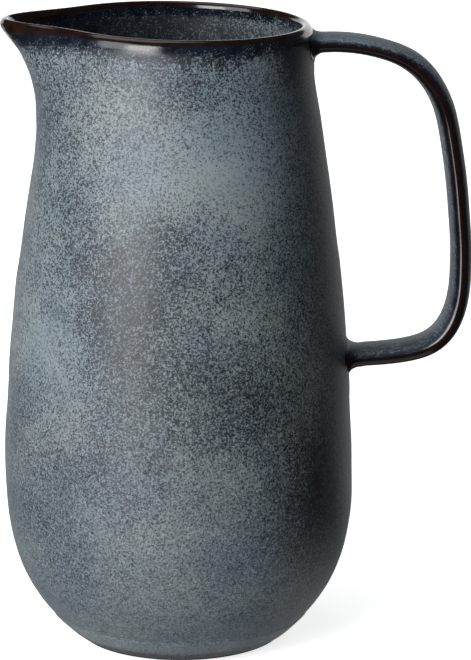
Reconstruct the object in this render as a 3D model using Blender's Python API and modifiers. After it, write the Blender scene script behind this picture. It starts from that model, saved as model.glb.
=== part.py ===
"""A glazed stoneware pitcher at rest: thrown body with a pulled beak spout, a strap handle luted on with
slip, and the glaze coats that cover them. Units are metres, +Z up, the spout points to -X and the handle to +X.
The ground is z = 0 and the origin sits under the centre of the overall box."""

import math

import bmesh
import bpy
import numpy as np

MM = 0.001

# ---- driving dimensions, millimetres, measured from the vessel's own axis and the ground
GLAZE = 0.7  # thickness of the glaze on the wall
FIT = 0.4  # clearance kept between neighbouring pieces
COAT = GLAZE + FIT  # clay stands this far back from the glazed surface

LIP_Z = 237.5  # height at which the lip starts to round over
LIP_OUT, LIP_IN = 50.0, 45.4  # glazed radii of the lip, outside and inside
# glazed outer silhouette, height to radius: foot, belly, shoulder, neck
OUTSIDE = (
    (0.0, 34.7), (1.5, 37.9), (4.0, 41.9), (8.0, 46.2), (14.0, 51.6), (22.0, 57.1), (34.0, 62.5),
    (50.0, 65.8), (70.0, 66.5), (95.0, 65.4), (120.0, 63.5), (150.0, 60.4), (180.0, 56.4),
    (205.0, 52.9), (222.0, 50.7), (231.0, 50.1), (LIP_Z, LIP_OUT),
)
# glazed cavity, radius and height from the middle of the floor to the lip
INSIDE = (
    (0.0, 8.2), (18.0, 8.5), (34.0, 10.0), (44.5, 14.5), (52.0, 23.0), (57.4, 35.0), (60.8, 51.0),
    (61.5, 70.0), (60.4, 95.0), (58.6, 120.0), (55.5, 150.0), (51.5, 180.0), (48.1, 205.0),
    (46.1, 222.0), (45.5, 231.0), (LIP_IN, LIP_Z),
)
OUTSIDE_ROWS = (2.2, 4.5, 8.0, 13.0, 20.0, 29.0, 41.0, 55.0, 72.0, 92.0, 114.0, 137.0, 160.0, 182.0,
                199.0, 212.0, 221.0, 227.5, 232.5, 236.9)
FLOOR_ROWS = (0.0, 0.11, 0.26, 0.42, 0.54, 0.66, 0.78, 0.89, 1.0)  # shares of the curve from the middle of the floor
INSIDE_ROWS = (72.0, 94.0, 116.0, 138.0, 160.0, 181.0, 198.0, 211.0, 220.0, 227.5, 232.5, 236.9)
LINING_TOP = 227.5  # the lining stops at this row and the lip's own glaze goes on
FOOT_OUT, FOOT_IN = 33.6, 28.4  # the bare ring that stands on the table
FOOT_RECESS = 2.3

TURNS = 48  # facets round the axis
CROWD = 0.40  # how strongly the facets crowd towards the spout

# the pulled spout: how far the wall is drawn out, and over what angle, against depth below the rim
PULL = ((-4.0, 17.2), (0.0, 17.2), (3.0, 16.0), (6.0, 13.7), (12.0, 8.9), (22.0, 4.8), (32.0, 1.6), (42.0, 0.0), (300.0, 0.0))
PULL_ANGLE = ((-4.0, 20.2), (0.0, 20.2), (10.0, 23.0), (30.0, 34.0), (300.0, 34.0))
RIM_RISE_SPOUT, RIM_DROP_HANDLE = 0.8, 0.7
RISE_FROM = 180.0

# the strap handle: centreline x, z from the lip to the belly, and its glazed half sizes
SPINE = (
    (49.0, 231.1), (57.0, 231.3), (61.5, 231.3), (66.7, 230.9), (72.7, 229.9), (78.2, 228.4), (83.2, 226.5),
    (88.4, 223.2), (93.9, 217.5), (99.6, 206.1), (102.7, 191.3), (104.5, 178.8), (105.9, 163.5),
    (106.7, 151.9), (106.6, 140.5), (105.8, 133.3), (104.0, 126.5), (100.6, 120.3), (96.4, 116.4),
    (91.4, 114.2), (86.0, 113.0), (80.5, 112.2), (74.4, 111.65), (68.3, 111.3), (62.0, 111.1),
)
STRAP_T, STRAP_W = 3.75, 11.0
STRAP_POWER = 2.25  # 2 is an ellipse; more is squarer
STRAP_POINTS = 20
STRAP_RINGS = 22
BEND_SHARE = 1.2  # how strongly the rings crowd into the bends
HANDLE_GLAZE = 0.6
SLIP_REACH = 4.0  # how far the slip fillet runs along the strap
# slip fillet size on the outer face, the edges and the inner face of the strap
SLIP_TOP = (0.5, 2.2, 3.4)
SLIP_BOTTOM = (2.8, 2.6, 2.8)


def through(knots, values, at):
    """A monotone cubic through the knots, and its slope."""
    x, y, at = (np.asarray(v, float) for v in (knots, values, at))
    step = np.diff(x)
    rise = np.diff(y) / step
    slope = np.empty(len(x))
    slope[0], slope[-1] = rise[0], rise[-1]
    for k in range(1, len(x) - 1):
        a, b = rise[k - 1], rise[k]
        wa, wb = 2 * step[k] + step[k - 1], step[k] + 2 * step[k - 1]
        slope[k] = 0.0 if a * b <= 0 else (wa + wb) / (wa / a + wb / b)
    k = np.clip(np.searchsorted(x, at, side="right") - 1, 0, len(step) - 1)
    h = step[k]
    t = (at - x[k]) / h
    value = ((1 + 2 * t) * (1 - t) ** 2 * y[k] + t * (1 - t) ** 2 * h * slope[k]
             + t * t * (3 - 2 * t) * y[k + 1] + t * t * (t - 1) * h * slope[k + 1])
    grade = (6 * t * (t - 1) * (y[k] - y[k + 1]) / h + (1 - t) * (1 - 3 * t) * slope[k]
             + t * (3 * t - 2) * slope[k + 1])
    return value, grade


def along(stations, at):
    """A smooth path through (a, b) stations by share of its chord length: points and unit tangents."""
    s = np.array(stations, float)
    run = np.concatenate([[0], np.cumsum(np.hypot(*np.diff(s, axis=0).T))])
    a, da = through(run, s[:, 0], np.asarray(at) * run[-1])
    b, db = through(run, s[:, 1], np.asarray(at) * run[-1])
    size = np.hypot(da, db)
    return np.column_stack([a, b]), np.column_stack([da / size, db / size])


def outside(depth, rows=OUTSIDE_ROWS):
    """(radius, height) of the outer wall, this far in from the glazed surface, foot to lip."""
    z = np.array(rows, float)
    r, grade = through(*zip(*OUTSIDE), z)
    size = np.hypot(1, grade)
    return list(zip(r - depth / size, z + depth * grade / size))


def inside(depth, rows=INSIDE_ROWS, floor=True):
    """(radius, height) of the cavity wall, this far in from the glazed surface, floor to lip."""
    found = []
    if floor:
        p, t = along(INSIDE[:7], FLOOR_ROWS)
        found = [(r + depth * tz, z - depth * tr) for (r, z), (tr, tz) in zip(p, t)]
        found[0] = (0.0, found[0][1])
    side = [(z, r) for r, z in INSIDE[5:]]
    z = np.array(rows, float)
    r, grade = through(*zip(*side), z)
    size = np.hypot(1, grade)
    return found + list(zip(r + depth / size, z - depth * grade / size))


def lip(depth, steps):
    """(radius, height) over the rounded lip from its outer to its inner side."""
    middle, size = (LIP_OUT + LIP_IN) / 2, (LIP_OUT - LIP_IN) / 2 - depth
    return [(middle + size * math.cos(a), LIP_Z + size * math.sin(a)) for a in np.linspace(0, math.pi, steps + 1)]


def pulled(points):
    """Draws the spout out of a round vessel and lets the rim rise towards it. Points are x, y, z."""
    p = np.array(points, float)
    r = np.hypot(p[:, 0], p[:, 1])
    turn = np.arctan2(p[:, 1], -p[:, 0])  # 0 at the spout
    depth = LIP_Z + 2.3 - p[:, 2]
    far, _ = through(*zip(*PULL), np.clip(depth, -4, 299))
    wide, _ = through(*zip(*PULL_ANGLE), np.clip(depth, -4, 299))
    fade = np.clip(r / 30.0, 0, 1) ** 2
    grown = r + fade * far * np.exp(-((np.degrees(turn) / wide) ** 2))
    up = np.clip((p[:, 2] - RISE_FROM) / (LIP_Z - RISE_FROM), 0, 1.1)
    mean, swing = (RIM_RISE_SPOUT - RIM_DROP_HANDLE) / 2, (RIM_RISE_SPOUT + RIM_DROP_HANDLE) / 2
    p[:, 2] += up * up * (mean + swing * np.cos(turn)) * np.clip(r / 20, 0, 1)
    scale = np.where(r > 1e-9, grown / np.maximum(r, 1e-9), 1.0)
    p[:, 0] *= scale
    p[:, 1] *= scale
    return p


def wall_x(y, z, stand):
    """x of the clay wall's outer face under the handle, plus a clearance."""
    rows = outside(COAT, np.linspace(60, 237, 119))
    heights, radii = [q[1] for q in rows], [q[0] for q in rows]
    reach = np.interp(z, heights, radii) + stand
    return np.sqrt(reach**2 - np.asarray(y) ** 2)


def new_object(name, verts, faces, where):
    mesh = bpy.data.meshes.new(name)
    mesh.from_pydata([tuple(v) for v in verts], [], faces)
    work = bmesh.new()
    work.from_mesh(mesh)
    bmesh.ops.remove_doubles(work, verts=work.verts, dist=1e-5)
    bmesh.ops.recalc_face_normals(work, faces=work.faces)
    work.to_mesh(mesh)
    work.free()
    obj = bpy.data.objects.new(name, mesh)
    where.objects.link(obj)
    return obj


def revolved(name, profile, ring, where):
    """Turns a profile of (radius, height) about the vessel's axis with a Screw, then pulls the spout out of it.
    A ring profile is closed on itself; any other starts and ends on the axis."""
    sketch = bpy.data.meshes.new(name + "_profile")
    edges = [(k, k + 1) for k in range(len(profile) - 1)] + ([(len(profile) - 1, 0)] if ring else [])
    sketch.from_pydata([(r * MM, 0, z * MM) for r, z in profile], edges, [])
    turned = bpy.data.objects.new(name + "_turned", sketch)
    where.objects.link(turned)
    screw = turned.modifiers.new("turn", "SCREW")
    screw.axis, screw.angle = "Z", 2 * math.pi
    screw.steps = screw.render_steps = TURNS
    screw.use_merge_vertices, screw.merge_threshold = True, 1e-5
    graph = bpy.context.evaluated_depsgraph_get()
    mesh = bpy.data.meshes.new_from_object(turned.evaluated_get(graph))
    bpy.data.objects.remove(turned)
    p = np.empty(len(mesh.vertices) * 3, np.float32)
    mesh.vertices.foreach_get("co", p)
    p = p.reshape(-1, 3).astype(float) / MM
    r, turn = np.hypot(p[:, 0], p[:, 1]), np.arctan2(p[:, 1], p[:, 0])
    turn = turn + CROWD * np.sin(turn)
    p[:, 0], p[:, 1] = r * np.cos(turn), r * np.sin(turn)
    mesh.vertices.foreach_set("co", (pulled(p) * MM).astype(np.float32).ravel())
    work = bmesh.new()
    work.from_mesh(mesh)
    bmesh.ops.remove_doubles(work, verts=work.verts, dist=1e-5)
    bmesh.ops.recalc_face_normals(work, faces=work.faces)
    work.to_mesh(mesh)
    work.free()
    mesh.name = name
    obj = bpy.data.objects.new(name, mesh)
    where.objects.link(obj)
    return obj


def lofted(name, rings, kind, where):
    """Skins between rings of equal count. 'tube' joins the last ring to the first; 'rod' ends in single points."""
    count = len(rings[0])
    verts = [tuple(np.asarray(v) * MM) for ring in rings for v in ring]
    pairs = [(k, k + 1) for k in range(len(rings) - 1)] + ([(len(rings) - 1, 0)] if kind == "tube" else [])
    faces = []
    for a, b in pairs:
        for k in range(count):
            n = (k + 1) % count
            faces.append((a * count + k, a * count + n, b * count + n, b * count + k))
    if kind == "rod":
        for a in (0, len(rings) - 1):
            verts.append(tuple(np.mean([verts[a * count + k] for k in range(count)], axis=0)))
            faces += [(a * count + k, a * count + (k + 1) % count, len(verts) - 1) for k in range(count)]
    return new_object(name, verts, faces, where)


def strap(inset):
    """The strap's section this far in from the glazed surface: (thickness, width) pairs."""
    a, b = STRAP_T - inset, STRAP_W - inset
    turn = np.arange(STRAP_POINTS) * 2 * math.pi / STRAP_POINTS
    c, s = np.cos(turn), np.sin(turn)
    power = 2 / STRAP_POWER
    return np.column_stack([a * np.sign(c) * abs(c) ** power, b * np.sign(s) * abs(s) ** power])


def spine_rings(inset):
    """Rings square to the handle's centreline, between the two slip fillets."""
    share = np.linspace(0, 1, 400)
    p, t = along(SPINE, share)
    clear = (p[:, 0] > np.where(p[:, 1] > 180, 58.5, 72.0))
    first, last = share[clear][0], share[clear][-1]
    # more rings where the strap bends
    even = np.linspace(first, last, 300)
    _, t = along(SPINE, even)
    bend = np.abs(np.diff(np.unwrap(np.arctan2(t[:, 1], t[:, 0]))))
    pace = np.concatenate([[0], np.cumsum(1 / 299 + bend / bend.sum() * BEND_SHARE)])
    at = np.interp(np.linspace(0, pace[-1], STRAP_RINGS), pace, even)
    p, t = along(SPINE, at)
    rings = []
    for (x, z), (tx, tz) in zip(p, t):
        out = np.array([-tz, tx])
        rings.append([(x + u * out[0], v, z + u * out[1]) for u, v in strap(inset)])
    return rings


def root_ring(top, inset, stand, shrink=1.0, grow=None):
    """A ring of the strap's section that lies on the curved wall, stand millimetres off the clay."""
    height = SPINE[0][1] if top else SPINE[-1][1]
    sign = 1 if top else -1
    ring = []
    for k, (u, v) in enumerate(strap(inset) * shrink):
        if grow is not None:
            u, v = u + grow[k][0], v + grow[k][1]
        z = height + sign * u
        ring.append((float(wall_x(v, z, stand)), v * sign, z))
    return ring if top else [ring[k] for k in range(len(ring))]


def oriented(ring, top):
    """At the belly the strap runs the other way, so its width is mirrored back to keep the rings in step."""
    return ring if top else [(x, -y, z) for x, y, z in ring]


def fillet_growth(sizes, share):
    """How far the slip stands out from the strap at each point of the section, at this share of its reach."""
    outer, side, inner = sizes
    grown = []
    for u, v in strap(0):
        n = np.array([abs(u / STRAP_T) ** (STRAP_POWER - 1) * np.sign(u) / STRAP_T,
                      abs(v / STRAP_W) ** (STRAP_POWER - 1) * np.sign(v) / STRAP_W])
        n /= np.hypot(*n)
        face = outer if n[0] > 0 else inner
        size = face * n[0] ** 2 + side * n[1] ** 2
        grown.append(n * size * (1 - math.sqrt(max(0.0, 1 - (1 - share) ** 2))))
    return grown


def slip_joint(name, top, sizes, where):
    """The fillet of joining slip: a collar round the strap that sits on the wall."""
    shares = (0.0, 0.12, 0.3, 0.6, 1.0)
    rings = [oriented(root_ring(top, 0.0, FIT + s * SLIP_REACH, grow=fillet_growth(sizes, s)), top) for s in shares]
    rings += [oriented(root_ring(top, HANDLE_GLAZE, FIT + s * SLIP_REACH), top) for s in (1.0, 0.5, 0.0)]
    return lofted(name, rings, "tube", where)


def window(name, top, sizes, where):
    """A cutter for the opening that the outer coat leaves round a handle root."""
    height = SPINE[0][1] if top else SPINE[-1][1]
    sign = 1 if top else -1
    grow = fillet_growth(sizes, 0.0)
    outline = []
    for (u, v), g in zip(strap(0), grow):
        d = np.array([u / STRAP_T, v / STRAP_W])
        d /= np.hypot(*d)
        outline.append((v + g[1] + FIT * 1.2 * d[1], height + sign * (u + g[0] + FIT * 1.2 * d[0])))
    if top:  # open upwards, past the upper edge of the coat
        outline = [(y, z if z < height else height + (z - height) * 1.28) for y, z in outline]
    near, far = (46.9, 70.0) if top else (45.0, 85.0)
    rings = [[(x, y, z) for y, z in outline] for x in (near, far)]
    cutter = lofted(name, rings, "rod", where)
    cutter.display_type = "WIRE"
    cutter.hide_render = True
    return cutter


def cut(obj, cutter):
    step = obj.modifiers.new("window_" + cutter.name, "BOOLEAN")
    step.operation, step.solver, step.object = "DIFFERENCE", "EXACT", cutter
    return step


def paint(obj, name, colour, rough, smooth=True):
    material = bpy.data.materials.new(name)
    material.use_nodes = True
    shader = material.node_tree.nodes["Principled BSDF"]
    shader.inputs["Base Color"].default_value = (*colour, 1)
    shader.inputs["Roughness"].default_value = rough
    shader.inputs["Metallic"].default_value = 0.0
    obj.data.materials.clear()
    obj.data.materials.append(material)
    for polygon in obj.data.polygons:
        polygon.use_smooth = smooth


def main():
    for obj in list(bpy.data.objects):
        bpy.data.objects.remove(obj)
    pitcher = bpy.data.collections.new("stoneware_pitcher")
    cutters = bpy.data.collections.new("cutters")
    for collection in (pitcher, cutters):
        bpy.context.scene.collection.children.link(collection)
    cutters.hide_render = True

    # clay: the outer wall down to the bare foot, and the cavity from the middle of the floor up to the lip
    foot = [(FOOT_OUT + 0.9, 0.45), (FOOT_OUT, 0.0), (FOOT_IN, 0.0), (FOOT_IN - 1.2, FOOT_RECESS * 0.8), (0.0, FOOT_RECESS)]
    clay = inside(COAT) + lip(COAT, 6)[::-1][1:] + outside(COAT)[::-1] + foot
    body = revolved("stoneware_body", clay, False, pitcher)

    # glaze on the outside, from the foot line to just under the lip
    coat = outside(0.0) + outside(GLAZE)[::-1]
    outer = revolved("outer_glaze", coat, True, pitcher)
    # glaze that lines the cavity
    lined = [z for z in INSIDE_ROWS if z <= LINING_TOP]
    lining = inside(0.0, lined) + inside(GLAZE, lined)[::-1]
    inner = revolved("inner_glaze", lining, False, pitcher)
    # glaze that breaks over the lip, thin and brown
    side = [LINING_TOP + FIT] + [z for z in INSIDE_ROWS if z > LINING_TOP]
    cap = ([(LIP_OUT, LIP_Z - 0.5)] + lip(0.0, 6) + inside(0.0, side, False)[::-1]
           + inside(GLAZE, side, False) + lip(GLAZE, 6)[::-1] + [(LIP_OUT - GLAZE, LIP_Z - 0.5)])
    band = revolved("rim_glaze", cap, True, pitcher)

    # the strap handle: clay core with both ends cut to the wall's curve, and its own coat
    inset = HANDLE_GLAZE + FIT
    ends = [oriented(root_ring(True, inset, FIT, s), True) for s in (0.35, 0.7, 1.0)]
    starts = [oriented(root_ring(False, inset, FIT, s), False) for s in (1.0, 0.7, 0.35)]
    handle = lofted("handle", ends + spine_rings(inset) + starts, "rod", pitcher)
    reach = FIT + SLIP_REACH + FIT
    sleeve = ([oriented(root_ring(True, 0.0, reach), True)] + spine_rings(0.0) + [oriented(root_ring(False, 0.0, reach), False)]
              + [oriented(root_ring(False, HANDLE_GLAZE, reach), False)] + spine_rings(HANDLE_GLAZE)[::-1]
              + [oriented(root_ring(True, HANDLE_GLAZE, reach), True)])
    handle_coat = lofted("handle_glaze", sleeve, "tube", pitcher)
    upper = slip_joint("upper_handle_joint", True, SLIP_TOP, pitcher)
    lower = slip_joint("lower_handle_joint", False, SLIP_BOTTOM, pitcher)

    cut(outer, window("upper_window", True, SLIP_TOP, cutters))
    cut(outer, window("lower_window", False, SLIP_BOTTOM, cutters))

    # put the origin under the centre of the overall box
    everything = list(pitcher.objects)
    xs = [v.co.x for obj in everything for v in obj.data.vertices]
    shift = -(min(xs) + max(xs)) / 2
    for obj in everything + list(cutters.objects):
        for v in obj.data.vertices:
            v.co.x += shift

    paint(body, "stoneware_clay", (0.30, 0.22, 0.16), 0.8)
    paint(handle, "handle_clay", (0.30, 0.22, 0.16), 0.8)
    paint(upper, "upper_slip", (0.13, 0.16, 0.20), 0.3)
    paint(lower, "lower_slip", (0.13, 0.16, 0.20), 0.3)
    paint(outer, "outer_coat", (0.16, 0.20, 0.26), 0.2)
    paint(inner, "inner_coat", (0.12, 0.15, 0.20), 0.2)
    paint(band, "rim_coat", (0.07, 0.035, 0.02), 0.2)
    paint(handle_coat, "handle_coat", (0.14, 0.17, 0.22), 0.2)


main()
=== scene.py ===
import math

import bmesh
import bpy
import numpy as np
from mathutils import Matrix, Vector


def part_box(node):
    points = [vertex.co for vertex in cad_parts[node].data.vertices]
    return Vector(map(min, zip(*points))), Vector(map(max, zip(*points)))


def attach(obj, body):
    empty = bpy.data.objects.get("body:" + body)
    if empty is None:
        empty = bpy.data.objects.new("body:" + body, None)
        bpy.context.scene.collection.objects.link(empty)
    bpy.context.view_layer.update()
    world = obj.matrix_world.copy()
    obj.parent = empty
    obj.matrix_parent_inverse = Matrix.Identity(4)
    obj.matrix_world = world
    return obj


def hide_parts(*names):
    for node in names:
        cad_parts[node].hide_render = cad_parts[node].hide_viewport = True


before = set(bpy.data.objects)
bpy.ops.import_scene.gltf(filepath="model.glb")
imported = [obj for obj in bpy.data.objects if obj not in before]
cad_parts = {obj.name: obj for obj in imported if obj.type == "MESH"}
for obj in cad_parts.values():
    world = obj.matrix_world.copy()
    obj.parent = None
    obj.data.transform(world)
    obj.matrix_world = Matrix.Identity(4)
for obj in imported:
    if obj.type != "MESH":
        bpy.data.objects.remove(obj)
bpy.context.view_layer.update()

MM = 0.001

# ---------------------------------------------------------------- the pitcher's form, in millimetres
# the vessel's own axis stands at x = AXIS; everything else is measured from that axis and the ground
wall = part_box("outer_glaze")
AXIS = float(wall[1][0]) / MM - 66.48
LIP_Z = 236.6  # the lip starts to round over here, and its crest leans inwards
LIP_OUT, LIP_IN = 50.0, 45.4
LIP_TALL, LIP_LEAN = 3.2, 0.5
OUTSIDE = (
    (0.0, 34.7), (1.5, 37.9), (4.0, 41.9), (8.0, 46.2), (14.0, 51.6), (22.0, 57.1), (34.0, 62.5),
    (50.0, 65.8), (70.0, 66.5), (95.0, 65.4), (120.0, 63.5), (150.0, 60.4), (180.0, 56.4),
    (205.0, 52.9), (222.0, 50.7), (231.0, 50.1), (LIP_Z, LIP_OUT),
)
INSIDE = (
    (0.0, 8.2), (18.0, 8.5), (34.0, 10.0), (44.5, 14.5), (52.0, 23.0), (57.4, 35.0), (60.8, 51.0),
    (61.5, 70.0), (60.4, 95.0), (58.6, 120.0), (55.5, 150.0), (51.5, 180.0), (48.1, 205.0),
    (46.1, 222.0), (45.5, 231.0), (LIP_IN, LIP_Z),
)
PULL = ((-4.0, 17.5), (0.0, 17.5), (3.0, 16.7), (6.0, 14.5), (12.0, 9.5), (22.0, 4.5), (32.0, 1.4), (42.0, 0.0), (300.0, 0.0))
PULL_ANGLE = ((-4.0, 20.2), (0.0, 20.2), (10.0, 23.0), (30.0, 34.0), (300.0, 34.0))
RIM_RISE_SPOUT, RIM_DROP_HANDLE, RISE_FROM = 0.8, 1.0, 180.0
SPINE = (  # x, z and half thickness of the strap
    (49.0, 231.5, 3.45), (57.0, 231.65, 3.4), (61.5, 231.55, 3.4), (66.7, 231.05, 3.4), (72.7, 229.9, 3.4), (78.2, 228.4, 3.45),
    (83.2, 226.55, 3.65), (88.5, 223.3, 3.9), (93.9, 217.6, 3.95), (99.6, 206.1, 3.95), (102.6, 191.3, 3.95), (104.45, 178.8, 4.0),
    (105.9, 163.5, 4.0), (106.7, 151.9, 4.0), (106.6, 140.5, 4.0), (105.8, 133.3, 4.0), (104.0, 126.5, 4.0), (100.6, 120.3, 3.95),
    (96.4, 116.4, 3.85), (91.4, 114.2, 3.8), (86.0, 113.0, 3.75), (80.5, 112.2, 3.75), (74.4, 111.65, 3.7), (68.3, 111.3, 3.7),
    (62.0, 111.1, 3.7),
)
STRAP_T, STRAP_W, STRAP_POWER = 3.75, 11.0, 2.25
FOOT_LINE = 2.0  # where the glaze stops above the ground
TURNS, CROWD = 192, 0.36


def through(knots, values, at):
    """A monotone cubic through the knots, and its slope."""
    x, y, at = (np.asarray(v, float) for v in (knots, values, at))
    step = np.diff(x)
    rise = np.diff(y) / step
    slope = np.empty(len(x))
    slope[0], slope[-1] = rise[0], rise[-1]
    for k in range(1, len(x) - 1):
        a, b = rise[k - 1], rise[k]
        wa, wb = 2 * step[k] + step[k - 1], step[k] + 2 * step[k - 1]
        slope[k] = 0.0 if a * b <= 0 else (wa + wb) / (wa / a + wb / b)
    k = np.clip(np.searchsorted(x, at, side="right") - 1, 0, len(step) - 1)
    h = step[k]
    t = (at - x[k]) / h
    value = ((1 + 2 * t) * (1 - t) ** 2 * y[k] + t * (1 - t) ** 2 * h * slope[k]
             + t * t * (3 - 2 * t) * y[k + 1] + t * t * (t - 1) * h * slope[k + 1])
    grade = (6 * t * (t - 1) * (y[k] - y[k + 1]) / h + (1 - t) * (1 - 3 * t) * slope[k]
             + t * (3 * t - 2) * slope[k + 1])
    return value, grade


def along(stations, at):
    s = np.array(stations, float)
    run = np.concatenate([[0], np.cumsum(np.hypot(*np.diff(s[:, :2], axis=0).T))])
    a, da = through(run, s[:, 0], np.asarray(at) * run[-1])
    b, db = through(run, s[:, 1], np.asarray(at) * run[-1])
    size = np.hypot(da, db)
    rest = [through(run, s[:, k], np.asarray(at) * run[-1])[0] for k in range(2, s.shape[1])]
    return np.column_stack([a, b] + rest), np.column_stack([da / size, db / size])


def smoothed(values, width):
    """A running average that keeps the ends."""
    out = np.asarray(values, float).copy()
    for _ in range(3):
        padded = np.concatenate([2 * out[0] - out[width:0:-1], out, 2 * out[-1] - out[-2:-width - 2:-1]])
        out = np.convolve(padded, np.ones(2 * width + 1) / (2 * width + 1), mode="valid")
    return out


FINE_Z = np.linspace(0, LIP_Z, 1200)
OUT_R = through(*zip(*OUTSIDE), FINE_Z)[0]
OUT_R[60:] = smoothed(OUT_R, 26)[60:]  # irons the stations out of the long curve of the wall
FOOT_EASE = np.clip((FINE_Z[:60] - 2) / 9, 0, 1)
IN_PATH, IN_TAN = along(INSIDE, np.linspace(0, 1, 1200))
IN_PATH = np.column_stack([smoothed(IN_PATH[:, 0], 14), smoothed(IN_PATH[:, 1], 14)])
IN_PATH[0, 0] = 0.0


def outer_r(z):
    return np.interp(z, FINE_Z, OUT_R)


def pulled(points):
    """Draws the spout out of a round vessel and lets the rim rise towards it. Points are x, y, z."""
    p = np.array(points, float)
    r = np.hypot(p[:, 0], p[:, 1])
    turn = np.arctan2(p[:, 1], -p[:, 0])
    depth = LIP_Z + LIP_TALL - p[:, 2]
    far, _ = through(*zip(*PULL), np.clip(depth, -4, 299))
    wide, _ = through(*zip(*PULL_ANGLE), np.clip(depth, -4, 299))
    fade = np.clip(r / 30.0, 0, 1) ** 2
    grown = r + fade * far * np.exp(-((np.degrees(turn) / wide) ** 2))
    up = np.clip((p[:, 2] - RISE_FROM) / (LIP_Z - RISE_FROM), 0, 1.1)
    mean, swing = (RIM_RISE_SPOUT - RIM_DROP_HANDLE) / 2, (RIM_RISE_SPOUT + RIM_DROP_HANDLE) / 2
    p[:, 2] += up * up * (mean + swing * np.cos(turn)) * np.clip(r / 20, 0, 1)
    scale = np.where(r > 1e-9, grown / np.maximum(r, 1e-9), 1.0)
    p[:, 0] *= scale
    p[:, 1] *= scale
    return p


SIDES = (  # height, and how far the wall bulges past its true round on the spout side and on the handle side
    (0.0, -0.7, 0.8), (6.0, -0.4, 0.7), (15.0, 0.0, 0.75), (23.0, 0.0, 0.7), (30.0, 0.0, 0.55), (38.0, -0.1, 0.38),
    (46.0, -0.05, 0.23), (54.0, 0.1, 0.3), (62.0, 0.23, 0.0), (70.0, 0.38, -0.28), (78.0, 0.5, -0.3), (85.0, 0.49, -0.4), (93.0, 0.2, -0.4),
    (101.0, 0.2, 0.0), (109.0, 0.42, 0.0), (117.0, 0.48, 0.0), (125.0, 0.38, 0.1), (132.0, 0.42, 0.2), (140.0, 0.5, 0.22),
    (148.0, 0.11, 0.22), (156.0, -0.17, 0.0), (164.0, -0.2, 0.1), (172.0, -0.34, 0.2), (180.0, -0.53, 0.18), (187.0, -0.7, 0.08),
    (195.0, -0.38, 0.04), (203.0, 0.05, 0.0), (211.0, -0.2, -0.3), (218.0, -0.25, -0.5), (225.0, 0.0, -0.1), (232.0, 0.0, 0.0), (300.0, 0.0, 0.0),
)


def wavering(p):
    """The slight unevenness of a hand-finished wall, in millimetres along the radius."""
    x, y, z = p[:, 0], p[:, 1], p[:, 2]
    turn = np.arctan2(y, x)
    height, spout_side, handle_side = zip(*SIDES)
    level = np.clip(z, 0, 299)
    side = (np.clip(-np.cos(turn), 0, 1) ** 1.5 * through(height, spout_side, level)[0]
            + np.clip(np.cos(turn), 0, 1) ** 1.5 * through(height, handle_side, level)[0])
    return side + small_waves(turn, z)


def small_waves(turn, z):
    return (0.16 * np.sin(turn) ** 2 * (np.sin(2 * turn + 0.7 + z * 0.017) * np.sin(z * 0.031 + 0.5)
                                        + 0.6 * np.sin(3 * turn - 1.1 - z * 0.024) * np.sin(z * 0.047 + 1.9)
                                        + 0.4 * np.sin(5 * turn + 2.3 + z * 0.051)))


def mesh_object(name, points, faces, attributes=None):
    mesh = bpy.data.meshes.new(name)
    mesh.from_pydata([tuple(p) for p in np.asarray(points) * MM], [], faces)
    for key, values in (attributes or {}).items():
        mesh.attributes.new(key, "FLOAT", "POINT").data.foreach_set("value", np.asarray(values, np.float32))
    work = bmesh.new()
    work.from_mesh(mesh)
    bmesh.ops.remove_doubles(work, verts=work.verts, dist=1e-7)
    bmesh.ops.dissolve_degenerate(work, edges=work.edges, dist=1e-8)
    bmesh.ops.recalc_face_normals(work, faces=work.faces)
    work.to_mesh(mesh)
    work.free()
    for polygon in mesh.polygons:
        polygon.use_smooth = True
    obj = bpy.data.objects.new(name, mesh)
    bpy.context.scene.collection.objects.link(obj)
    return obj


def turned(name, profile, ring, marks, uneven=1.0):
    """A shape turned about the vessel's axis and then pulled at the spout. marks are (name, value per profile point)."""
    profile = np.array(profile, float)
    u = np.arange(TURNS) * 2 * math.pi / TURNS
    angle = u + CROWD * np.sin(u)
    points, faces = [], []
    for r, z in profile:
        points.append(np.column_stack([r * np.cos(angle), r * np.sin(angle), np.full(TURNS, z)]))
    points = np.concatenate(points)
    points = pulled(points)
    shift = wavering(points) * uneven
    r = np.hypot(points[:, 0], points[:, 1])
    ease = np.clip(r / 25, 0, 1) * np.clip((242 - points[:, 2]) / 16, 0.25, 1)
    grow = 1 + shift * ease / np.maximum(r, 1)
    points[:, 0] *= grow
    points[:, 1] *= grow
    points[:, 0] += AXIS
    rows = len(profile)
    pairs = [(k, k + 1) for k in range(rows - 1)] + ([(rows - 1, 0)] if ring else [])
    for a, b in pairs:
        for k in range(TURNS):
            n = (k + 1) % TURNS
            faces.append((a * TURNS + k, a * TURNS + n, b * TURNS + n, b * TURNS + k))
    values = {key: np.repeat(np.asarray(v, float), TURNS) for key, v in marks.items()}
    return mesh_object(name, points, faces, values)


def run_length(profile):
    p = np.array(profile, float)
    return np.concatenate([[0], np.cumsum(np.hypot(*np.diff(p, axis=0).T))])


# ---------------------------------------------------------------- the glaze skin: outside, over the lip, and the lining
def resampled(path, step):
    p = np.array(path, float)
    run = run_length(p)
    count = max(2, int(run[-1] / step) + 1)
    at = np.linspace(0, run[-1], count)
    return np.column_stack([np.interp(at, run, p[:, 0]), np.interp(at, run, p[:, 1])])


outer_path = np.column_stack([OUT_R, FINE_Z])[FINE_Z >= FOOT_LINE]
low = outer_path[outer_path[:, 1] < 26]
mid = outer_path[(outer_path[:, 1] >= 26) & (outer_path[:, 1] < 205)]
top = outer_path[outer_path[:, 1] >= 205]
centre, half = (LIP_OUT + LIP_IN) / 2, (LIP_OUT - LIP_IN) / 2
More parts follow.
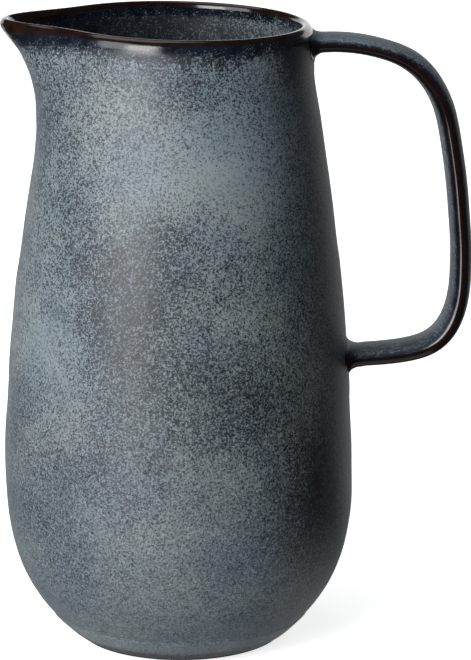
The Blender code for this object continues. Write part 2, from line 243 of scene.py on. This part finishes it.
# the lip is a little fuller outside than in: a soft bead, not a plain half circle
bow = np.linspace(0, math.pi, 25)
lip_arc = np.column_stack([centre + half * np.cos(bow) - LIP_LEAN * np.sin(bow), LIP_Z + LIP_TALL * np.sin(bow)])
in_up = IN_PATH[::-1]
in_top = in_up[in_up[:, 1] >= 200]
in_mid = in_up[(in_up[:, 1] < 200) & (in_up[:, 1] >= 60)]
in_low = in_up[in_up[:, 1] < 60]
upper = np.concatenate([resampled(low, 1.1), resampled(mid, 2.4)[1:], resampled(top, 1.0)[1:-1], lip_arc,
                        resampled(in_top, 1.3)[1:], resampled(in_mid, 4.5)[1:], resampled(in_low, 3.2)[1:]])
upper[-1, 0] = 0.0
# the glaze ends at the foot in a small rounded bead, and its back closes the coat against the clay
bead = [(outer_path[0, 0] - 0.25, FOOT_LINE - 0.32), (outer_path[0, 0] - 0.8, FOOT_LINE - 0.42), (outer_path[0, 0] - 1.25, FOOT_LINE - 0.1)]
back = []
for r, z in resampled(outer_path, 7.0)[1:-1]:
    back.append((r - 0.85, z + 0.25))
back.append((centre + 1.3, LIP_Z))
back.append((centre - 0.4, LIP_Z + 2.1))
back.append((centre - 1.3, LIP_Z))
lining_back = resampled(IN_PATH[::-1], 7.0)[1:]
for k, (r, z) in enumerate(lining_back):
    nxt = lining_back[min(k + 1, len(lining_back) - 1)] - lining_back[max(k - 1, 0)]
    n = np.array([-nxt[1], nxt[0]]) / max(1e-9, np.hypot(*nxt))
    back.append((max(r + n[0] * 0.85, 0.02), z + n[1] * 0.85))
back = np.array(back)
back[-1, 0] = 0.0
skin_profile = np.concatenate([back[::-1], np.array(bead)[::-1], upper])
run = run_length(skin_profile)
crest = int(np.argmax(skin_profile[:, 1] + (np.arange(len(skin_profile)) > len(back)) * 5))
mark = np.abs(run - run[crest])
side = np.where(np.arange(len(skin_profile)) > crest, 1.0, 0.0)
skin = turned("glaze_skin", skin_profile, False, {"break_mm": mark, "lining": side})
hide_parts("outer_glaze", "inner_glaze", "rim_glaze")
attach(skin, "root")

# ---------------------------------------------------------------- the clay under it, which shows at the foot
clay_out = np.column_stack([OUT_R - 1.0, FINE_Z + 0.3])[(FINE_Z >= 1.2)]
foot = [(0.0, 2.6), (14.0, 2.5), (25.6, 2.3), (27.0, 2.0), (27.9, 1.2), (28.3, 0.4), (28.8, 0.05), (29.4, 0.0), (31.0, 0.0), (32.6, 0.0), (33.4, 0.05),
        (34.0, 0.35), (34.6, 0.9)]
clay_path = np.concatenate([foot, resampled(clay_out, 6.0), [(centre + 0.9, LIP_Z + 0.9), (centre - 0.2, LIP_Z + 1.7), (centre - 0.9, LIP_Z + 0.9)],
                            [(r + 1.0 if z > 20 else r, z - (0.0 if z > 20 else 1.0)) for r, z in resampled(IN_PATH[::-1], 8.0)[1:]]])
clay_path[-1, 0] = 0.0
clay = turned("stoneware_clay_body", clay_path, False, {"break_mm": run_length(clay_path)}, uneven=1.0)
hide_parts("stoneware_body")
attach(clay, "root")


# ---------------------------------------------------------------- the strap handle with its slip fillets
def strap(count):
    turn = np.arange(count) * 2 * math.pi / count
    c, s = np.cos(turn), np.sin(turn)
    power = 2 / STRAP_POWER
    u, v = STRAP_T * np.sign(c) * abs(c) ** power, STRAP_W * np.sign(s) * abs(s) ** power
    # evens the spacing round the outline
    loop = np.column_stack([np.append(u, u[0]), np.append(v, v[0])])
    run = run_length(loop)
    at = np.linspace(0, run[-1], count, endpoint=False)
    return np.column_stack([np.interp(at, run, loop[:, 0]), np.interp(at, run, loop[:, 1])])


AROUND = 72
fine = strap(720)
pick = fine[:: 720 // AROUND]
pick = np.roll(pick, 0, axis=0)


def growth(sizes, share):
    outer, edge, inner = sizes
    n = np.column_stack([abs(pick[:, 0] / STRAP_T) ** (STRAP_POWER - 1) * np.sign(pick[:, 0]) / STRAP_T,
                         abs(pick[:, 1] / STRAP_W) ** (STRAP_POWER - 1) * np.sign(pick[:, 1]) / STRAP_W])
    n /= np.hypot(n[:, 0], n[:, 1])[:, None]
    face = outer * np.clip(n[:, 0], 0, 1) ** 2 + inner * np.clip(-n[:, 0], 0, 1) ** 2
    size = face + edge * n[:, 1] ** 2
    return n * (size * (1 - math.sqrt(max(0.0, 1 - (1 - share) ** 2))))[:, None]


def on_wall(y, z):
    r = outer_r(np.clip(z, 0, LIP_Z))
    return np.sqrt(r**2 - y**2)


def root_ring(top, stand, grow):
    height, sign = (SPINE[0][1], 1) if top else (SPINE[-1][1], -1)
    thick = (SPINE[0] if top else SPINE[-1])[2] / STRAP_T
    u, v = pick[:, 0] * thick + grow[:, 0], pick[:, 1] + grow[:, 1]
    z = height + sign * u
    return np.column_stack([on_wall(v, z) + stand, v, z])


SLIP_TOP, SLIP_BOTTOM, REACH_TOP, REACH_BOTTOM = (1.5, 2.6, 3.6), (3.6, 3.0, 3.8), 4.2, 5.0
shares = (1.0, 0.8, 0.62, 0.46, 0.32, 0.2, 0.11, 0.05, 0.015, 0.0)
spine_p, spine_t = along(SPINE, np.linspace(0, 1, 900))
spine_p = np.column_stack([smoothed(spine_p[:, k], 14) for k in range(3)])
spine_t = np.gradient(spine_p[:, :2], axis=0)
spine_t /= np.hypot(spine_t[:, 0], spine_t[:, 1])[:, None]
keep = spine_p[:, 0] > np.where(spine_p[:, 1] > 180, 57.5, 70.5)
spine_p, spine_t = spine_p[keep], spine_t[keep]
spine_run = run_length(spine_p[:, :2])
at = np.linspace(0, spine_run[-1], 150)
sx, sz, st = (np.interp(at, spine_run, spine_p[:, k]) for k in range(3))
tx, tz = np.interp(at, spine_run, spine_t[:, 0]), np.interp(at, spine_run, spine_t[:, 1])
rings = [root_ring(True, -0.7, growth(SLIP_TOP, 0.0))]
rings += [root_ring(True, s * REACH_TOP, growth(SLIP_TOP, s)) for s in shares[::-1]]
middle = []
for x, z, thick, a, b in zip(sx, sz, st / STRAP_T, tx, tz):
    size = math.hypot(a, b)
    out = np.array([-b, a]) / size
    u = pick[:, 0] * thick
    middle.append(np.column_stack([x + u * out[0], pick[:, 1], z + u * out[1]]))
rings += middle
bottom = [root_ring(False, s * REACH_BOTTOM, growth(SLIP_BOTTOM, s)) for s in shares]
bottom.append(root_ring(False, -0.7, growth(SLIP_BOTTOM, 0.0)))
rings += bottom
count = len(rings)
points = np.concatenate(rings)
# distance along the section from the strap's edge, signed to its outer face
section_run = run_length(np.vstack([pick, pick[:1]]))
edge_at = [section_run[int(np.argmax(pick[:, 1]))], section_run[int(np.argmin(pick[:, 1]))]]
inward = np.where(pick[:, 0] >= 0, 1.0, -1.0)
to_edge = np.min([np.minimum(abs(section_run[:-1] - e), section_run[-1] - abs(section_run[:-1] - e)) for e in edge_at], axis=0)
signed = np.tile(to_edge * inward, count)
handle_attrs = {"edge_mm": signed, "lining": np.zeros(len(points))}
faces = []
for a in range(count - 1):
    for k in range(AROUND):
        n = (k + 1) % AROUND
        faces.append((a * AROUND + k, a * AROUND + n, (a + 1) * AROUND + n, (a + 1) * AROUND + k))
faces.append(tuple(range(AROUND))[::-1])
faces.append(tuple((count - 1) * AROUND + k for k in range(AROUND)))
# how far down the break line slides on the strap, as glaze runs with gravity where the strap lies level
level = np.concatenate([np.full(11, 1.0), np.abs(tx / np.hypot(tx, tz)) * np.sign(np.where(sz > 170, 1, -1)), np.full(len(bottom), -1.0)])
handle_attrs["level"] = np.repeat(level, AROUND)
strap_points = points.copy()
strap_points[:, 0] += AXIS
rim_gap = np.hypot(np.maximum(0, points[:, 0] - 49.0), np.maximum(0, 236.5 - points[:, 2]))
handle_attrs["break_mm"] = rim_gap
handle = mesh_object("strap_handle_skin", strap_points, faces, handle_attrs)
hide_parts("handle_glaze", "upper_handle_joint", "lower_handle_joint")
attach(handle, "root")


# ---------------------------------------------------------------- materials
class Nodes:
    """Short names for making nodes and joining them."""

    def __init__(self, name):
        self.material = bpy.data.materials.new(name)
        self.material.use_nodes = True
        self.tree = self.material.node_tree
        self.shader = self.tree.nodes["Principled BSDF"]

    def put(self, kind, inputs=(), **settings):
        node = self.tree.nodes.new(kind)
        for key, value in settings.items():
            setattr(node, key, value)
        for key, value in dict(inputs).items():
            if isinstance(value, bpy.types.NodeSocket):
                self.tree.links.new(value, node.inputs[key])
            else:
                node.inputs[key].default_value = value
        return node

    def math(self, operation, a, b=0.0, c=0.0, clamp=False):
        return self.put("ShaderNodeMath", {0: a, 1: b, 2: c}, operation=operation, use_clamp=clamp).outputs[0]

    def ramp(self, value, low, high, smooth=True):
        """0 at low, 1 at high."""
        return self.put("ShaderNodeMapRange", {"Value": value, "From Min": low, "From Max": high, "To Min": 0.0, "To Max": 1.0},
                        interpolation_type="SMOOTHSTEP" if smooth else "LINEAR", clamp=True).outputs["Result"]

    def mix(self, share, a, b):
        node = self.tree.nodes.new("ShaderNodeMix")
        node.data_type = "RGBA"
        node.clamp_factor = True
        for socket, value in ((node.inputs[0], share), (node.inputs[6], a), (node.inputs[7], b)):
            if isinstance(value, bpy.types.NodeSocket):
                self.tree.links.new(value, socket)
            else:
                socket.default_value = (*value, 1) if isinstance(value, tuple) else value
        return node.outputs[2]

    def blend(self, share, a, b):
        node = self.tree.nodes.new("ShaderNodeMix")
        node.data_type = "FLOAT"
        node.clamp_factor = True
        for socket, value in ((node.inputs[0], share), (node.inputs[2], a), (node.inputs[3], b)):
            if isinstance(value, bpy.types.NodeSocket):
                self.tree.links.new(value, socket)
            else:
                socket.default_value = value
        return node.outputs[0]

    def noise(self, where, scale, detail=2.0, rough=0.5, offset=(0, 0, 0)):
        moved = self.put("ShaderNodeVectorMath", {0: where, 1: offset}, operation="ADD").outputs[0]
        return self.put("ShaderNodeTexNoise", {"Vector": moved, "Scale": scale, "Detail": detail, "Roughness": rough}).outputs["Fac"]

    def attribute(self, name):
        return self.put("ShaderNodeAttribute", attribute_name=name).outputs["Fac"]

    def join(self, value, key):
        self.tree.links.new(value, self.shader.inputs[key])


def blob(n, where, centre, size):
    """1 at a place on the object, fading out over its size in millimetres along x, y and z."""
    moved = n.put("ShaderNodeVectorMath", {0: where, 1: tuple((-c * MM) for c in centre)}, operation="ADD").outputs[0]
    scaled = n.put("ShaderNodeVectorMath", {0: moved, 1: tuple(1 / (s * MM) for s in size)}, operation="MULTIPLY").outputs[0]
    length = n.put("ShaderNodeVectorMath", {0: scaled}, operation="LENGTH").outputs["Value"]
    return n.ramp(length, 1.0, 0.0)


TONE_AND_SHADE_PATCHES = (  # centre from the axis, size, and how much thicker or thinner the flecks lie there, millimetres; most are painted shade and painted light: darker on the shaded right side, under the handle's upper root and under the key light's sheen, lighter on the lit left and upper front
    ((26, -46, 205), (34, 40, 60), 0.12),
    ((-12, -62, 124), (36, 40, 30), -0.07),
    ((10, -62, 104), (52, 40, 28), -0.09),
    ((40, -50, 98), (30, 40, 26), -0.05),
    ((-2, -58, 174), (24, 40, 16), -0.07),
    ((14, -48, 222), (44, 30, 18), -0.04),
    ((2, -56, 190), (50, 42, 32), 0.11),
    ((52, -40, 66), (34, 45, 46), -0.26),
    ((44, -22, 229), (18, 30, 15), -0.24),
    ((28, -50, 118), (26, 40, 24), -0.05),
    ((-12, -58, 160), (24, 40, 22), -0.06),
    ((-19, -58, 146), (26, 40, 42), -0.08),
    ((-34, -48, 160), (20, 40, 20), -0.05),
    ((-52, -36, 180), (20, 40, 40), 0.05),
    ((-50, -38, 126), (28, 45, 34), 0.12),
    ((-30, -55, 84), (34, 40, 18), -0.05),
)


def glaze(name, kind):
    """Reactive glaze: pale flecks float in navy glass, thin out towards an edge, and the edge itself breaks brown."""
    n = Nodes(name)
    where = n.put("ShaderNodeTexCoord").outputs["Object"]
    xyz = n.put("ShaderNodeSeparateXYZ", {0: where})
    height = xyz.outputs["Z"]

    fine = n.noise(where, 2100.0, 1.0, 0.5)
    grain = n.noise(where, 1080.0, 3.0, 0.72, (0.31, 0.17, 0.05))
    coarse = n.noise(where, 210.0, 3.0, 0.6, (0.11, 0.43, 0.27))
    cloud = n.noise(where, 30.0, 3.0, 0.55, (0.6, 0.2, 0.9))
    edge_noise = n.noise(where, 150.0, 4.0, 0.65, (0.9, 0.1, 0.3))

    # how much of the glass the flecks cover: even, with soft clouds and a few places where the flecks lie thicker or
    # thinner, most of them painted shade and painted light
    cover = n.math("MULTIPLY_ADD", n.math("SUBTRACT", cloud, 0.5), 0.27, 0.51)
    cover = n.math("ADD", cover, n.math("MULTIPLY", n.math("SUBTRACT", coarse, 0.5), 0.16))
    if kind == "vessel":
        # painted shade and painted light: each patch darkens or lightens the glaze colour where the body lies in shade
        # or in light
        for centre, size, change in TONE_AND_SHADE_PATCHES:
            cover = n.math("MULTIPLY_ADD", blob(n, where, (centre[0] + AXIS, centre[1], centre[2]), size), change, cover)
        # painted reflection and painted shade: a paler band on the turn of the foot stands for the table's reflection,
        # and the colour darkens at its very edge where the foot turns under into shade
        cover = n.math("MULTIPLY_ADD", n.math("MULTIPLY", n.ramp(height, 14 * MM, 9 * MM), n.ramp(height, 5.2 * MM, 7.5 * MM)), 0.12, cover)
        cover = n.math("MULTIPLY", cover, n.blend(n.ramp(height, 3.6 * MM, 6.4 * MM), 0.25, 1.0))
        # the coat runs further off the flared beak than off the rest of the lip
        beak = n.ramp(xyz.outputs["X"], (AXIS - 34) * MM, (AXIS - 66) * MM)
        away = n.math("MULTIPLY_ADD", beak, -2.6, n.attribute("break_mm"))
        inside_shade = n.math("MULTIPLY_ADD", n.ramp(xyz.outputs["X"], (AXIS - 5) * MM, (AXIS + 38) * MM), 0.14, -0.21)
        cover = n.math("MULTIPLY_ADD", n.attribute("lining"), inside_shade, cover)
        ragged = n.math("ADD", away, n.math("MULTIPLY", n.math("SUBTRACT", edge_noise, 0.5), 3.0))
        brown = n.ramp(ragged, 4.1, 2.2)
        reach = n.math("MULTIPLY_ADD", n.attribute("lining"), 3.5, ragged)
        thin = n.ramp(n.math("MULTIPLY_ADD", n.math("SUBTRACT", coarse, 0.5), 9.0, reach), 1.5, 12.0)
    else:
        edge = n.attribute("edge_mm")
        level = n.attribute("level")
        slid = n.math("ADD", edge, n.math("MULTIPLY", level, 1.2))
        away = n.math("ABSOLUTE", slid)
        ragged = n.math("ADD", away, n.math("MULTIPLY", n.math("SUBTRACT", edge_noise, 0.5), 1.8))
        brown = n.ramp(ragged, 2.6, 1.2)
        thin = n.ramp(ragged, 1.4, 4.6)
        # painted light: the flecks cover more of the top run of the strap, so it reads lighter where it faces the light
        # from above
        cover = n.math("MULTIPLY_ADD", n.ramp(height, 200 * MM, 226 * MM), 0.16, n.math("SUBTRACT", cover, 0.06))
    cover = n.math("MULTIPLY", cover, n.blend(thin, 0.22, 1.0))
    speck = n.math("ADD", n.math("MULTIPLY", grain, 0.62), n.math("MULTIPLY", fine, 0.38))
    # a fleck starts where the grain rises over a level that falls as the cover grows
    level_at = n.math("MULTIPLY_ADD", cover, -0.50, 0.755)
    # the flecks melt into each other towards the foot
    crisp = n.blend(n.ramp(height, 8 * MM, 140 * MM, False), 2.7, 6.6)
    fleck = n.math("MULTIPLY_ADD", n.math("SUBTRACT", speck, level_at), crisp, 0.46, clamp=True)

    navy = n.mix(n.ramp(coarse, 0.3, 0.7), (0.0025, 0.0036, 0.0072), (0.0075, 0.0112, 0.020))
    if kind == "vessel":
        pale = n.mix(n.ramp(cloud, 0.35, 0.65), (0.150, 0.193, 0.221), (0.175, 0.209, 0.218))
    else:
        pale = n.mix(n.ramp(cloud, 0.35, 0.65), (0.118, 0.162, 0.205), (0.150, 0.190, 0.215))
    body = n.mix(fleck, navy, pale)
    rust = n.mix(n.ramp(edge_noise, 0.3, 0.7), (0.0045, 0.0021, 0.0015), (0.0135, 0.0052, 0.0031) if kind == "vessel" else (0.0090, 0.0042, 0.0030))
    colour = n.mix(brown, body, rust)
    n.join(colour, "Base Color")

    rough = n.blend(fleck, 0.48, 0.62)
    rough = n.blend(n.ramp(ragged, 8.5 if kind == "vessel" else 3.2, 4.6 if kind == "vessel" else 1.6), rough, 0.12)
    n.join(rough, "Roughness")
    n.shader.inputs["IOR"].default_value = 1.5
    n.shader.inputs["Metallic"].default_value = 0.0
    bumps = n.math("ADD", n.math("MULTIPLY", coarse, 0.5), n.math("MULTIPLY", n.math("ADD", grain, fine), 0.22))
    bumps = n.math("MULTIPLY", bumps, n.blend(brown, 1.0, 0.12))
    bump = n.put("ShaderNodeBump", {"Height": bumps, "Strength": 0.35, "Distance": 0.00025})
    n.join(bump.outputs["Normal"], "Normal")
    return n.material


def clay_material(name):
    """Bare fired stoneware: warm grey-brown, fine sand and a few iron specks."""
    n = Nodes(name)
    where = n.put("ShaderNodeTexCoord").outputs["Object"]
    sand = n.noise(where, 900.0, 3.0, 0.6)
    tone = n.noise(where, 60.0, 3.0, 0.55, (0.4, 0.1, 0.7))
    iron = n.ramp(n.noise(where, 420.0, 1.0, 0.4, (0.8, 0.5, 0.2)), 0.70, 0.76)
    colour = n.mix(n.ramp(tone, 0.3, 0.7), (0.060, 0.046, 0.038), (0.105, 0.082, 0.066))
    colour = n.mix(n.math("MULTIPLY", n.ramp(sand, 0.35, 0.7), 0.5), colour, (0.17, 0.135, 0.11))
    colour = n.mix(iron, colour, (0.02, 0.012, 0.009))
    n.join(colour, "Base Color")
    n.join(n.math("MULTIPLY_ADD", sand, 0.2, 0.68), "Roughness")
    bump = n.put("ShaderNodeBump", {"Height": sand, "Strength": 0.5, "Distance": 0.0003})
    n.join(bump.outputs["Normal"], "Normal")
    return n.material


vessel_glaze = glaze("reactive_glaze_vessel", "vessel")
handle_glaze = glaze("reactive_glaze_handle", "handle")
bare_clay = clay_material("bare_stoneware")
skin.data.materials.append(vessel_glaze)
handle.data.materials.append(handle_glaze)
clay.data.materials.append(bare_clay)
core_clay = clay_material("handle_core_stoneware")
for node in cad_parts:
    obj = bpy.data.objects.get(node)
    if obj is not None and not obj.hide_render:
        for place in obj.material_slots:
            place.material = core_clay

# ---------------------------------------------------------------- floor, lights, camera
floor_mesh = bpy.data.meshes.new("studio_floor")
steps = 96
ring = [(2.0 * math.cos(a), 2.0 * math.sin(a), 0.0) for a in np.linspace(0, 2 * math.pi, steps, endpoint=False)]
floor_mesh.from_pydata(ring, [], [tuple(range(steps))])
floor = bpy.data.objects.new("studio_floor", floor_mesh)
bpy.context.scene.collection.objects.link(floor)
f = Nodes("pale_floor")
f.shader.inputs["Roughness"].default_value = 0.85
f.shader.inputs["Specular IOR Level"].default_value = 0.1
grain = f.noise(f.put("ShaderNodeTexCoord").outputs["Object"], 3.0, 2.0)
f.join(f.mix(grain, (0.86, 0.86, 0.86), (0.89, 0.89, 0.89)), "Base Color")
f.shader.inputs["Emission Color"].default_value = (1, 1, 1, 1)
f.shader.inputs["Emission Strength"].default_value = 0.78
floor_mesh.materials.append(f.material)
floor.visible_diffuse = floor.visible_glossy = floor.visible_shadow = False  # the shaded side stays dark, as over a small table

world = bpy.data.worlds.new("studio")
bpy.context.scene.world = world
world.use_nodes = True
tree = world.node_tree
tree.nodes.clear()
out = tree.nodes.new("ShaderNodeOutputWorld")
lit = tree.nodes.new("ShaderNodeBackground")
seen = tree.nodes.new("ShaderNodeBackground")
choose = tree.nodes.new("ShaderNodeMixShader")
path = tree.nodes.new("ShaderNodeLightPath")
tree.links.new(path.outputs["Is Camera Ray"], choose.inputs[0])
tree.links.new(lit.outputs[0], choose.inputs[1])
tree.links.new(seen.outputs[0], choose.inputs[2])
tree.links.new(choose.outputs[0], out.inputs[0])
lit.inputs[0].default_value = (0.92, 0.96, 1.0, 1)
lit.inputs[1].default_value = 0.05
seen.inputs[0].default_value = (1, 1, 1, 1)
seen.inputs[1].default_value = 1.0


def area(name, at, to, width, tall, watts, colour=(1, 1, 1)):
    data = bpy.data.lights.new(name, "AREA")
    data.shape, data.size, data.size_y = "RECTANGLE", width, tall
    data.energy, data.color = watts, colour
    obj = bpy.data.objects.new(name, data)
    bpy.context.scene.collection.objects.link(obj)
    obj.location = at
    obj.rotation_euler = (Vector(to) - Vector(at)).to_track_quat("-Z", "Y").to_euler()
    obj.visible_camera = False
    return obj


area("key_softbox", (-1.15, -1.05, 0.75), (-0.02, 0, 0.12), 1.5, 1.4, 28.5)
area("key_core", (-0.79, -1.27, 0.45), (-0.02, 0, 0.30), 0.75, 1.5, 25.0)
area("back_panel", (0.0, 2.2, 0.5), (0, 0, 0.15), 4.4, 1.0, 18.0)
area("low_back_panel", (0.0, 2.0, -0.45), (0, 0, 0.05), 5.2, 0.7, 9.0)
area("top_panel", (-0.5, 0.4, 2.0), (0, 0, 0.1), 1.4, 1.4, 9.0)
area("table_bounce", (AXIS * MM, -0.08, 0.002), (AXIS * MM, -0.08, 1.0), 0.3, 0.22, 0.08)

cam_data = bpy.data.cameras.new("camera")
cam = bpy.data.objects.new("camera", cam_data)
bpy.context.scene.collection.objects.link(cam)
cam_data.sensor_width = 36.0
cam_data.lens = 3518.4 / 660 * 36.0
# the camera stands square in front of the vessel's axis and is turned a little towards the handle
pitch, turn_right = 0.24376, 56.1 / 3518.4
ahead = np.array([0, math.cos(pitch), -math.sin(pitch)])
up = np.array([0, math.sin(pitch), math.cos(pitch)])
side_to = np.array([1.0, 0, 0])
ahead_to = ahead + turn_right * side_to
right_to = side_to - turn_right * ahead
ahead_to, right_to = ahead_to / np.linalg.norm(ahead_to), right_to / np.linalg.norm(right_to)
cam.rotation_euler = Matrix([[right_to[k], up[k], -ahead_to[k]] for k in range(3)]).to_euler()
cam.location = (AXIS * MM, -1.300, 0.4440)
cam_data.clip_end = 50
bpy.context.scene.camera = cam
bpy.context.scene.view_settings.view_transform = "Standard"
bpy.context.scene.view_settings.look = "None"
